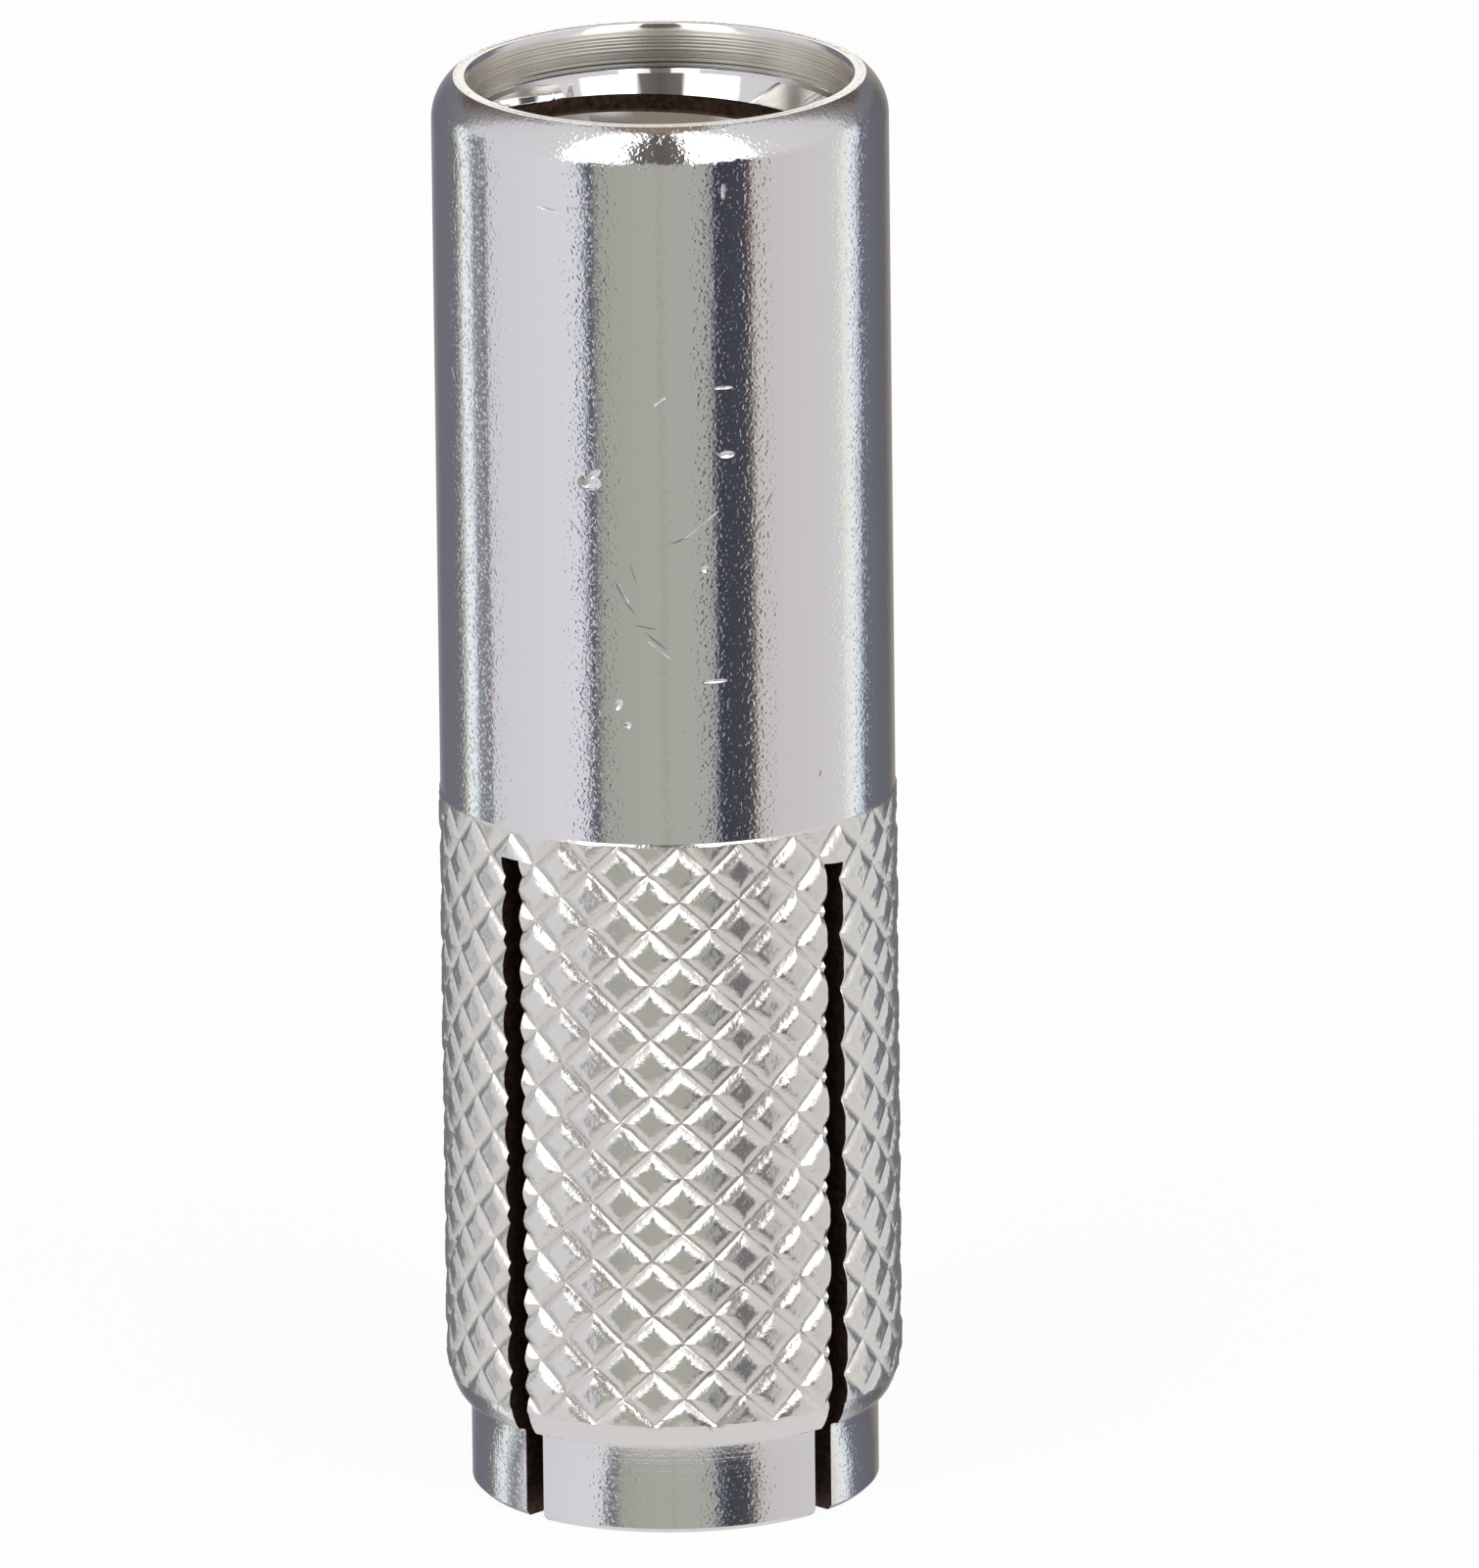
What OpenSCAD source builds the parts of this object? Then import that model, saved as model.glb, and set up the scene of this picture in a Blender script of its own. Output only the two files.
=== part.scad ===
// Drop-in anchor, half-inch size, standing on its slotted nose with the threaded mouth up.
// Millimetres, +Z up along the anchor's axis, origin at the middle of the nose face.

/* [Barrel] */
// Outside diameter of the smooth barrel, the size of the drilled hole
body_d = 15.875; // [15.2:0.05:18]
// Length of the anchor from nose face to rim
body_len = 50.8; // [48:0.1:64]
// How far the rounded shoulder draws in from the barrel to the rim
shoulder_w = 0.77; // [0.4:0.01:1]
// Height of the rounded shoulder under the rim
shoulder_h = 1.5; // [1:0.1:3]

/* [Nose] */
// How far the plain nose below the knurl stands in from the barrel
nose_inset = 0.81; // [0.5:0.01:1.1]
// Height of the plain nose
nose_h = 3.1; // [1.5:0.05:5]
// Size of the small chamfer around the nose face
nose_chamfer = 0.18; // [0.05:0.01:0.5]

// Height of the rounding from the nose out to the barrel, which the knurl's lower end follows
round_h = 1.9; // [1:0.1:3]

/* [Knurl] */
// Height of the smooth part of that rounding, between the nose and the first diamonds
knurl_gap = 1.05; // [0.6:0.05:1.4]
// Diamonds around the barrel
knurl_cells = 23; // [16:1:28]
// Height of one whole diamond
knurl_cell_h = 2; // [1.6:0.1:3]
// Half diamonds from the bottom of the knurl to its top
knurl_half_rows = 21; // [10:1:22]
// How far the rolled diamonds stand above the barrel
knurl_rise = 0.07; // [0.02:0.01:0.12]
// Depth of the grooves between the diamonds, from their tops
knurl_depth = 0.2; // [0.12:0.01:0.36]
// Width of a groove, measured square to it
knurl_groove_w = 0.5; // [0.3:0.02:0.8]
// Turn of the knurl about the axis, in degrees
knurl_turn = 13; // [0:0.1:15]

/* [Mouth] */
// Width of the flat rim around the mouth bore
rim_w = 0.45; // [0.2:0.01:0.8]
// Depth of the mouth bore below the rim
mouth_depth = 1.5; // [0.6:0.05:1.8]
// Width of the sloped step under the mouth bore, as wide as it is high
mouth_step = 0.21; // [0.1:0.01:0.3]
// How much the polished seat below that step narrows on the radius
seat_taper = 0.23; // [0.05:0.01:0.4]
// Depth of the seat's lower edge below the rim
seat_depth = 2.55; // [2.2:0.05:3.5]
// Height of the countersink from the seat into the thread
lead_in_h = 0.9; // [0.2:0.05:1.2]

/* [Thread and cavity] */
// Wall from the barrel's outside to the thread's minor diameter, a plain bore here
thread_wall = 2.58; // [2.2:0.01:2.8]
// Depth of the last full thread below the rim
thread_depth = 20.6; // [16:0.2:22]
// How far the cavity below the thread, where the plug waits, is relieved on the radius
cavity_relief = 0.3; // [0.2:0.01:0.5]
// Height of the sloped step from the thread out to the cavity
cavity_step_h = 0.4; // [0.2:0.1:1]
// How much the wedge taper narrows on the radius, from the cavity to the hole in the nose
taper_narrowing = 1.95; // [1:0.05:2.4]
// Height of the wedge taper
taper_h = 17.4; // [14:0.2:18]
// Height of the straight open hole in the nose below it
nose_bore_h = 2.6; // [1:0.1:4]

/* [Slots] */
// Width of each saw slot
slot_w = 0.82; // [0.5:0.02:1.4]
// Height of the slots' upper ends at the axis
slot_top = 24.3; // [20:0.05:24.6]
// How much further up the first cut reaches than the other
slot_over = 0.4; // [0:0.05:0.5]
// Diameter of the saw that cuts them
saw_d = 130; // [90:1:200]
// Saw cuts across the anchor, each making two slots
slot_cuts = 2; // [1:1:3]

/* [Expander plug] */
// Length of the loose wedge plug
plug_len = 11; // [8:0.1:12]
// Gap on the radius between the plug's upper end and the thread it is dropped in through
plug_gap = 0.16; // [0.1:0.01:0.3]
// Free travel from its packed place down to the wedge taper
plug_travel = 2.5; // [1:0.1:4]
// Clearance on the radius left when the plug meets the taper
plug_seat_gap = 0.03; // [0.02:0.01:0.08]
// Height of the straight band at the plug's upper end
plug_band_h = 1.2; // [0.5:0.1:2]
// Chamfer on both ends of the plug
plug_chamfer = 0.3; // [0.1:0.05:0.5]

/* [Hidden] */

round_fn = 96;

// Radii, each set in from the barrel or from the one before it
body_r = body_d / 2;
rim_r = body_r - shoulder_w;
nose_r = body_r - nose_inset;
mouth_r = rim_r - rim_w;
seat_top_r = mouth_r - mouth_step;
seat_foot_r = seat_top_r - seat_taper;
minor_r = body_r - thread_wall;
cavity_r = minor_r + cavity_relief;
nose_bore_r = cavity_r - taper_narrowing;

// The shoulder is an arc that leaves the barrel upright and meets the flat rim at a blunt edge
shoulder_turn = 2 * atan(shoulder_w / shoulder_h);
shoulder_r = shoulder_h / sin(shoulder_turn);

taper_foot_z = nose_bore_h;
taper_top_z = taper_foot_z + taper_h;
taper_slope = taper_narrowing / taper_h;

// Knurl lattice: grooves cross at every second point, and a diamond stands at each other one
cols = 2 * knurl_cells;
col_turn = 360 / cols;
row_h = knurl_cell_h / 2;
knurl_foot_z = nose_h + knurl_gap;
knurl_top_z = knurl_foot_z + knurl_half_rows * row_h;
crest_r = body_r + knurl_rise;
cell_w = 2 * PI * crest_r / knurl_cells;
groove_pitch = cell_w * knurl_cell_h / sqrt(cell_w * cell_w + knurl_cell_h * knurl_cell_h);
// Share of a cell's width and height that the diamond's flat top takes
top_share = 1 - knurl_groove_w / groove_pitch;
// The knurled sleeve and the core below it overlap by this much on the radius
sleeve_bury = 0.25;
// The smooth metal above and below the knurl reaches this far past its ends
knurl_lap = 0.1;

// Plug: its cone is the taper's own, and it stands its free travel above where the two meet
plug_top_r = minor_r - plug_gap;
plug_cone_h = plug_len - plug_band_h;
plug_foot_r = plug_top_r - plug_cone_h * taper_slope;
plug_seat_z = taper_foot_z + (plug_foot_r + plug_seat_gap - nose_bore_r) / taper_slope;
plug_foot_z = plug_seat_z + plug_travel;

// Radius at height z of a surface that rounds in from full_r down to the nose
function rounded_r(z, full_r) =
    let (u = min(1, max(0, (nose_h + round_h - z) / round_h)))
    nose_r + (full_r - nose_r) * sqrt(1 - u * u);

// Point at column i and row j of the lattice, sunk below the diamonds' tops
function lattice_point(i, j, sink) =
    let (a = knurl_turn + i * col_turn, z = knurl_foot_z + j * row_h, r = rounded_r(z, crest_r) - sink)
    [r * cos(a), r * sin(a), z];

// The four corners of the diamond at column i and row j: left, lower, right, upper
function diamond(i, j) = [
    lattice_point(i - top_share, j, 0),
    lattice_point(i, max(0, j - top_share), 0),
    lattice_point(i + top_share, j, 0),
    lattice_point(i, min(knurl_half_rows, j + top_share), 0)
];

// The four groove crossings around it, in the same order; past an end the row's own middle
function crossings(i, j) = [
    lattice_point(i - 1, j, knurl_depth),
    j == 0 ? lattice_point(i, 0, 0) : lattice_point(i, j - 1, knurl_depth),
    lattice_point(i + 1, j, knurl_depth),
    j == knurl_half_rows ? lattice_point(i, j, 0) : lattice_point(i, j + 1, knurl_depth)
];

// Faces of one diamond whose eight points start at n, seen from outside
function diamond_faces(n, bottom, top) = concat(
    bottom ? [[n, n + 3, n + 2]] : top ? [[n, n + 2, n + 1]] : [[n, n + 2, n + 1], [n, n + 3, n + 2]],
    bottom ? [] : [[n, n + 1, n + 5], [n, n + 5, n + 4], [n + 1, n + 2, n + 6], [n + 1, n + 6, n + 5]],
    top ? [] : [[n + 2, n + 3, n + 7], [n + 2, n + 7, n + 6], [n + 3, n, n + 4], [n + 3, n + 4, n + 7]]
);

// Outline of the knurl at row j, an end: crossing, left corner, right corner around the ring
function end_outline(j) = [for (k = [0:knurl_cells - 1]) let (i = 2 * k + (1 + j) % 2)
    each [lattice_point(i - 1, j, knurl_depth), diamond(i, j)[0], diamond(i, j)[2]]];

// The same outline drawn in to the sleeve's inner radius, inside the core
function buried(outline) = [for (p = outline)
    let (s = (nose_r - sleeve_bury) / norm([p[0], p[1]])) [p[0] * s, p[1] * s, p[2]]];

// Closed sleeve of knurled metal, from inside the core out to the diamonds
module knurl_sleeve() {
    cells = [for (j = [0:knurl_half_rows]) for (i = [0:cols - 1]) if ((i + j) % 2 == 1) [i, j]];
    shell = [for (c = cells) each concat(diamond(c[0], c[1]), crossings(c[0], c[1]))];
    shell_faces = [for (k = [0:len(cells) - 1])
        each diamond_faces(8 * k, cells[k][1] == 0, cells[k][1] == knurl_half_rows)];
    foot = end_outline(0);
    head = end_outline(knurl_half_rows);
    ring_n = len(foot);
    // First point of the outer and inner outlines at the foot and at the head
    foot_out = len(shell);
    head_out = foot_out + ring_n;
    foot_in = head_out + ring_n;
    head_in = foot_in + ring_n;
    end_faces = [for (m = [0:ring_n - 1]) let (q = (m + 1) % ring_n) each [
        [foot_out + m, foot_out + q, foot_in + q], [foot_out + m, foot_in + q, foot_in + m],
        [head_out + m, head_in + q, head_out + q], [head_out + m, head_in + m, head_in + q],
        [foot_in + m, foot_in + q, head_in + q], [foot_in + m, head_in + q, head_in + m]
    ]];
    polyhedron(
        points = concat(shell, foot, head, buried(foot), buried(head)),
        faces = concat(shell_faces, end_faces),
        convexity = 10
    );
}

// Turned outline of the barrel and nose, before the knurl and the bores
module turned_blank() {
    shoulder_steps = 12;
    round_steps = 6;
    round_top_z = knurl_foot_z + knurl_lap;
    rotate_extrude($fn = round_fn) polygon(concat(
        [
            [0, 0],
            [nose_r - nose_chamfer, 0],
            [nose_r, nose_chamfer]
        ],
        [for (s = [0:round_steps]) let (z = nose_h + (round_top_z - nose_h) * pow(s / round_steps, 2))
            [rounded_r(z, body_r), z]],
        [
            [nose_r, round_top_z],
            [nose_r, knurl_top_z - knurl_lap],
            [body_r, knurl_top_z - knurl_lap]
        ],
        [for (s = [0:shoulder_steps]) let (a = shoulder_turn * s / shoulder_steps) [
            body_r - shoulder_r * (1 - cos(a)),
            body_len - shoulder_h + shoulder_r * sin(a)
        ]],
        [[0, body_len]]
    ));
}

// Everything bored out along the axis, from the mouth down to the hole in the nose
module axial_bores() {
    over = 1;
    mouth_z = body_len - mouth_depth;
    seat_z = body_len - seat_depth;
    rotate_extrude($fn = round_fn) polygon([
        [0, -over],
        [nose_bore_r, -over],
        [nose_bore_r, taper_foot_z],
        [cavity_r, taper_top_z],
        [cavity_r, body_len - thread_depth - cavity_step_h],
        [minor_r, body_len - thread_depth],
        [minor_r, seat_z - lead_in_h],
        [seat_foot_r, seat_z],
        [seat_top_r, mouth_z - mouth_step],
        [mouth_r, mouth_z],
        [mouth_r, body_len + over],
        [0, body_len + over]
    ]);
}

// Saw cuts across the nose end; each disc leaves two slots with a gently curved upper end
module saw_slots() {
    for (k = [0:slot_cuts - 1])
        rotate([0, 0, 45 + 180 * k / slot_cuts])
            translate([0, slot_w / 2, slot_top + (k == 0 ? slot_over : 0) - saw_d / 2])
                rotate([90, 0, 0]) cylinder(d = saw_d, h = slot_w, $fn = 180);
}

module anchor_body() {
    color("silver") difference() {
        union() {
            turned_blank();
            knurl_sleeve();
        }
        axial_bores();
        saw_slots();
    }
}

module expander_plug() {
    top_z = plug_foot_z + plug_len;
    foot_in_r = plug_foot_r + plug_chamfer * taper_slope - plug_chamfer;
    color("gray") rotate_extrude($fn = round_fn) polygon([
        [0, plug_foot_z],
        [foot_in_r, plug_foot_z],
        [plug_foot_r + plug_chamfer * taper_slope, plug_foot_z + plug_chamfer],
        [plug_top_r, plug_foot_z + plug_cone_h],
        [plug_top_r, top_z - plug_chamfer],
        [plug_top_r - plug_chamfer, top_z],
        [0, top_z]
    ]);
}

anchor_body();
expander_plug();
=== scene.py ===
# %% [markdown]
# A drop-in anchor is a steel sleeve that is dropped into a hole drilled in concrete. Its upper half
# is threaded inside, its lower half is knurled and sawn into four legs, and a loose wedge plug
# waits inside to drive the legs apart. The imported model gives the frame: every piece made here
# stands exactly where its solid stands, in metres.

# %% Load the frame
import math

import bpy
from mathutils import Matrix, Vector, noise


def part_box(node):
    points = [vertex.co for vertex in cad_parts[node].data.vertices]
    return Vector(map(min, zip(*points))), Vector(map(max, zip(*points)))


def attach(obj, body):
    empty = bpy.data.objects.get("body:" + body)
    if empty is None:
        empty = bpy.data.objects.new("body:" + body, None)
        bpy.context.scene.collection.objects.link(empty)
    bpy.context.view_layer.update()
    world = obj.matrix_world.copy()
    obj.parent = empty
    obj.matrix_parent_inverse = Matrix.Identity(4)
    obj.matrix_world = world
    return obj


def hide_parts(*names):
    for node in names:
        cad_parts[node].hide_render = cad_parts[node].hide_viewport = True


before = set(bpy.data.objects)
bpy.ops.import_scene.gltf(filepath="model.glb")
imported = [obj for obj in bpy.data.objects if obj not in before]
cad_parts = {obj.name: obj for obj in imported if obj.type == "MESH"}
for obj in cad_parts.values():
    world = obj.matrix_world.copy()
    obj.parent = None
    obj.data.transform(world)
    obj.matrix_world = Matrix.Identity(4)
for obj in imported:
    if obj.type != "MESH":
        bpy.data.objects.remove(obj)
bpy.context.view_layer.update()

body_lo, body_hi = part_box("anchor_body")
plug_lo, plug_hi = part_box("expander_plug")
print("anchor body", body_lo, body_hi)
print("expander plug", plug_lo, plug_hi)

# %% [markdown]
# The pieces are modelled in millimetres, because Blender's tools weld and cut with tolerances that
# suit numbers near one, and each is scaled to metres when it is done. The driving sizes are those
# of the real half-inch anchor. Heights are measured up from the nose face. Points closer together
# than WELD are merged, and heights or places that differ by less than NEAR count as the same.

# %% Sizes of the anchor, in millimetres
MM = 0.001
METRE_IN_MM = 1000
FULL_TURN = 2 * math.pi
WELD = 0.0005
NEAR = 0.01

body_len = (body_hi[2] - body_lo[2]) / MM
body_r = 15.875 / 2
rim_r = body_r - 0.77
shoulder_h = 1.5
nose_r = body_r - 0.81
nose_h = 3.1
round_h = 1.9
print("length", round(body_len, 3), "outside diameter", 2 * body_r)


# %% [markdown]
# Blender's operators act on whatever is selected, so four small helpers keep that in hand: one
# makes an object the only selected and active one, one selects all of its points, one adds a
# modifier and applies it at once, and one merges doubled points.

# %% Small helpers for modelling by hand
def take(obj):
    """Leaves obj alone selected and active, in object mode."""
    if bpy.context.object and bpy.context.object.mode != "OBJECT":
        bpy.ops.object.mode_set(mode="OBJECT")
    bpy.ops.object.select_all(action="DESELECT")
    obj.select_set(True)
    bpy.context.view_layer.objects.active = obj


def pick_all(obj):
    """Selects all of obj's points, and leaves it in edit mode."""
    take(obj)
    bpy.ops.object.mode_set(mode="EDIT")
    bpy.ops.mesh.select_all(action="SELECT")


def apply_modifier(obj, kind, **settings):
    """Adds one modifier with its settings and applies it."""
    take(obj)
    made = obj.modifiers.new(kind.title(), kind)
    for name, value in settings.items():
        setattr(made, name, value)
    bpy.ops.object.modifier_apply(modifier=made.name)


def weld(obj):
    """Merges doubled points and turns the faces outwards."""
    pick_all(obj)
    bpy.ops.mesh.remove_doubles(threshold=WELD)
    bpy.ops.mesh.normals_make_consistent(inside=False)
    bpy.ops.object.mode_set(mode="OBJECT")


# %% [markdown]
# The knurl is rolled: a hardened wheel presses crossing grooves into the bar, and the metal that it
# pushes aside stands up as a lip around each diamond, with the old turned surface a little lower in
# the middle. One diamond is modelled flat, with the groove's floor as its edge: a rhombus is inset
# ring by ring, up the flank to the lip, and its middle is then sunk into a shallow dish.

# %% One diamond of the knurl, laid out flat
knurl_cells = 23
cell_h = 2.0
lip_r = body_r + 0.055
knurl_round = FULL_TURN * lip_r
cell_w = knurl_round / knurl_cells
groove_depth = 0.2

# Each ring: how far in from the last one, and how far up towards the lip, in mm
diamond_rings = [
    (0.02, 0.004),
    (0.08, 0.064),
    (0.10, 0.053),
    (0.11, 0.045),
    (0.12, 0.034),
]
dish_share = 0.6
dish_depth = 0.010


def flat_diamond():
    """One diamond in the XZ plane, facing -Y, with its lip at y = 0."""
    bpy.ops.object.select_all(action="DESELECT")
    bpy.ops.mesh.primitive_circle_add(
        vertices=4, radius=0.5, fill_type="NGON",
        location=(0, groove_depth, 0), rotation=(math.pi / 2, 0, 0),
    )
    diamond = bpy.context.object
    bpy.ops.object.transform_apply(location=True, rotation=True, scale=True)
    pick_all(diamond)
    bpy.ops.transform.resize(value=(cell_w, 1, cell_h), center_override=(0, groove_depth, 0))
    bpy.ops.mesh.subdivide(number_cuts=2)
    bpy.ops.mesh.dissolve_faces()
    for inwards, upwards in diamond_rings:
        bpy.ops.mesh.inset(thickness=inwards, depth=upwards, use_even_offset=True)
    bpy.ops.mesh.extrude_region_move(TRANSFORM_OT_translate={"value": (0, dish_depth, 0)})
    bpy.ops.transform.resize(value=(dish_share, 1, dish_share), center_override=(0, 0, 0))
    bpy.ops.object.mode_set(mode="OBJECT")
    return diamond


knurl = flat_diamond()
knurl.name = "anchor_sleeve"
print("one diamond has", len(knurl.data.polygons), "faces")
print("its points lie", [round(min(p.co[k] for p in knurl.data.vertices), 3) for k in range(3)],
      "to", [round(max(p.co[k] for p in knurl.data.vertices), 3) for k in range(3)])

# %% [markdown]
# The diamond is repeated by two Array modifiers, once around and once up the slope of the lattice,
# and the strip is cut off level at the knurl's two ends, as the width of the roll leaves it.

# %% Repeat it into a strip and cut the ends level
knurl_foot = nose_h + 1.05
half_rows = 21
knurl_top = knurl_foot + half_rows * cell_h / 2
knurl_turn = math.radians(1.26)

first_x = knurl_turn / FULL_TURN * knurl_round
pick_all(knurl)
bpy.ops.transform.translate(value=(first_x, 0, knurl_foot))
apply_modifier(
    knurl, "ARRAY", count=knurl_cells, use_relative_offset=False,
    use_constant_offset=True, constant_offset_displace=(cell_w, 0, 0),
)
apply_modifier(
    knurl, "ARRAY", count=half_rows + 1, use_relative_offset=False,
    use_constant_offset=True, constant_offset_displace=(cell_w / 2, 0, cell_h / 2),
)
for height, above in ((knurl_foot, False), (knurl_top, True)):
    pick_all(knurl)
    bpy.ops.mesh.bisect(
        plane_co=(0, 0, height), plane_no=(0, 0, 1),
        clear_inner=not above, clear_outer=above, threshold=WELD,
    )
bpy.ops.object.mode_set(mode="OBJECT")
print("knurled strip:", len(knurl.data.polygons), "faces")


# %% [markdown]
# The sleeve's lower end is rounded in towards the nose, and the roll reached down onto that
# rounding, where its grooves run out. No operator has that curve, so each row is set in by formula:
# an ellipse for the surface, with the groove floors staying at their own radius.

# %% Round the strip's lower end
groove_r = lip_r - groove_depth


def rounded_r(z, full_r):
    """Radius at height z of a surface that rounds in from full_r down to the nose."""
    u = min(1.0, max(0.0, (nose_h + round_h - z) / round_h))
    return nose_r + (full_r - nose_r) * math.sqrt(1 - u * u)


for point in knurl.data.vertices:
    surface = rounded_r(point.co.z, lip_r)
    share = (surface - groove_r) / groove_depth
    point.co.y = lip_r - surface + point.co.y * share

# %% [markdown]
# Simple Deform then bends the flat strip round the axis. The strip is longer than one turn, because
# each row starts half a diamond further along, so the angle grows by the same share and the rows
# close on themselves. Its front comes to lie at the front of the anchor.

# %% Bend the strip into a ring
strip_xs = [point.co.x for point in knurl.data.vertices]
strip_len = max(strip_xs) - min(strip_xs)
apply_modifier(
    knurl, "SIMPLE_DEFORM", deform_method="BEND", deform_axis="Z",
    angle=FULL_TURN * strip_len / knurl_round,
)
pick_all(knurl)
bpy.ops.transform.translate(value=(0, -lip_r, 0))
weld(knurl)

# %% [markdown]
# No roll leaves every diamond alike: the bar slips a little under it and the steel tears and smears.
# Three smooth noises move the points by a few hundredths of a millimetre: one tips whole diamonds,
# one makes their edges uneven and one frays them. All fade out at the knurl's two level ends, and no
# point is let out beyond the solid's own radius. The noise has a fixed seed, so it never changes.

# %% Make the diamonds a little uneven
TIP = 0.020
RAGGED = 0.030
FRAYED = 0.007
TIP_PER_MM = 0.7
RAGGED_PER_MM = 1.9
FRAYED_PER_MM = 7.0
still_h = 0.05
fade_h = 0.3
most_r = lip_r + 0.008
noise.seed_set(11)

for point in knurl.data.vertices:
    from_end = min(point.co.z - knurl_foot, knurl_top - point.co.z)
    fade = min(1.0, max(0.0, (from_end - still_h) / fade_h))
    out = Vector((point.co.x, point.co.y, 0)).normalized()
    tip = TIP * noise.noise(point.co * TIP_PER_MM) * out
    ragged = RAGGED * noise.noise_vector(point.co * RAGGED_PER_MM)
    frayed = FRAYED * noise.noise_vector(point.co * FRAYED_PER_MM)
    point.co += fade * (tip + ragged + frayed)
    too_far = math.hypot(point.co.x, point.co.y) - most_r
    if too_far > 0:
        point.co -= too_far * out
radii = [math.hypot(point.co.x, point.co.y) for point in knurl.data.vertices]
print("knurl radii", round(min(radii), 4), "to", round(max(radii), 4))


# %% [markdown]
# The rest of the outside is drawn out of the knurl's two open edges, ring by ring, as a lathe would
# leave it: over the small ledge that the roll pushed up, up the smooth barrel and over the rounded
# shoulder to the rim, and down the rounding and the plain nose to the nose face. Each ring is an
# extrusion that is then sized about the axis.

# %% Draw the turned surfaces out of the knurl
def open_edge(obj, z):
    """Selects the open edge at height z, and leaves obj in edit mode."""
    pick_all(obj)
    bpy.ops.mesh.select_mode(type="EDGE")
    bpy.ops.mesh.select_all(action="DESELECT")
    bpy.ops.mesh.select_non_manifold(extend=False, use_boundary=True, use_wire=False,
                                     use_multi_face=False, use_non_contiguous=False,
                                     use_verts=False)
    bpy.ops.object.mode_set(mode="OBJECT")
    for edge in obj.data.edges:
        ends = [obj.data.vertices[k].co.z for k in edge.vertices]
        if max(abs(end - z) for end in ends) > NEAR:
            edge.select = False
    for point in obj.data.vertices:
        point.select = False
    for edge in obj.data.edges:
        if edge.select:
            for k in edge.vertices:
                obj.data.vertices[k].select = True
    bpy.ops.object.mode_set(mode="EDIT")
    bpy.ops.mesh.select_mode(type="VERT")


def draw_rings(obj, z, rings):
    """Extrudes the open edge at height z through rings of (radius, height), and closes the last."""
    open_edge(obj, z)
    last_r = None
    for radius, height in rings:
        bpy.ops.mesh.extrude_region_move(TRANSFORM_OT_translate={"value": (0, 0, height - z)})
        if last_r is None:
            bpy.ops.transform.tosphere(value=1.0)
            bpy.ops.object.mode_set(mode="OBJECT")
            chosen = [p.co for p in obj.data.vertices if p.select]
            last_r = sum(math.hypot(co.x, co.y) for co in chosen) / len(chosen)
            bpy.ops.object.mode_set(mode="EDIT")
        size = radius / last_r
        bpy.ops.transform.resize(value=(size, size, 1), center_override=(0, 0, height))
        last_r = radius
        z = height
    bpy.ops.mesh.edge_face_add()
    bpy.ops.object.mode_set(mode="OBJECT")


shoulder_steps = 12
shoulder_turn = 2 * math.atan((body_r - rim_r) / shoulder_h)
shoulder_r = shoulder_h / math.sin(shoulder_turn)
shoulder = []
for step in range(shoulder_steps + 1):
    turn = shoulder_turn * step / shoulder_steps
    shoulder.append((body_r - shoulder_r * (1 - math.cos(turn)),
                     body_len - shoulder_h + shoulder_r * math.sin(turn)))

# The ledge and the foot of the barrel: how far out from the barrel, and how far above the knurl
ledge_steps = [(0.035, 0.04), (0.025, 0.07), (0, 0.12), (0, 0.18), (0, 0.6)]
ledge = [(body_r + out, knurl_top + above) for out, above in ledge_steps]
barrel = [(body_r, height) for height in (30, 40, 49)]
draw_rings(knurl, knurl_top, ledge + barrel + shoulder)

first_ring_z = knurl_foot - 0.06
round_steps = 6
fillet = 0.16
fillet_steps = 4
nose_middle = 1.6
nose_chamfer = 0.18
rounding = [(rounded_r(first_ring_z, body_r), first_ring_z)]
for step in range(1, round_steps + 1):
    z = knurl_foot - (knurl_foot - nose_h - fillet) * math.sqrt(step / round_steps)
    rounding.append((rounded_r(z, body_r), z))
foot_r = rounding[-1][0]
for step in range(1, fillet_steps + 1):
    turn = math.pi / 2 * step / fillet_steps
    rounding.append((foot_r + (nose_r - foot_r) * math.sin(turn),
                     nose_h + fillet * math.cos(turn)))
nose = [(nose_r, nose_middle), (nose_r, nose_chamfer), (nose_r - nose_chamfer, 0)]
draw_rings(knurl, knurl_foot, rounding + nose)
weld(knurl)
print("blank:", len(knurl.data.polygons), "faces, foot radius", round(foot_r, 3))

# %% [markdown]
# The inside is bored on the same lathe. Its outline is drawn point by point with vertex extrusions
# and spun about the axis, which makes a solid of the empty space: the mouth bore, drawn in a little
# below its edge, a sloped step, the polished seat, the countersink, the tap-drill bore, the relieved
# cavity, the long wedge taper that flares the legs, and the open hole in the nose.

# %% A turned solid from its outline
def draw_outline(name, points, closed):
    """Draws a chain of (radius, height) points in the XZ plane."""
    bpy.ops.object.select_all(action="DESELECT")
    bpy.ops.mesh.primitive_plane_add(size=1, location=(0, 0, 0))
    obj = bpy.context.object
    obj.name = name
    pick_all(obj)
    bpy.ops.mesh.merge(type="CENTER")
    bpy.ops.transform.translate(value=(points[0][0], 0, points[0][1]))
    for here, there in zip(points, points[1:]):
        step = (there[0] - here[0], 0, there[1] - here[1])
        bpy.ops.mesh.extrude_region_move(TRANSFORM_OT_translate={"value": step})
    if closed:
        bpy.ops.mesh.select_all(action="SELECT")
        bpy.ops.mesh.edge_face_add()
        bpy.ops.mesh.delete(type="ONLY_FACE")
    bpy.ops.object.mode_set(mode="OBJECT")
    return obj


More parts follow.
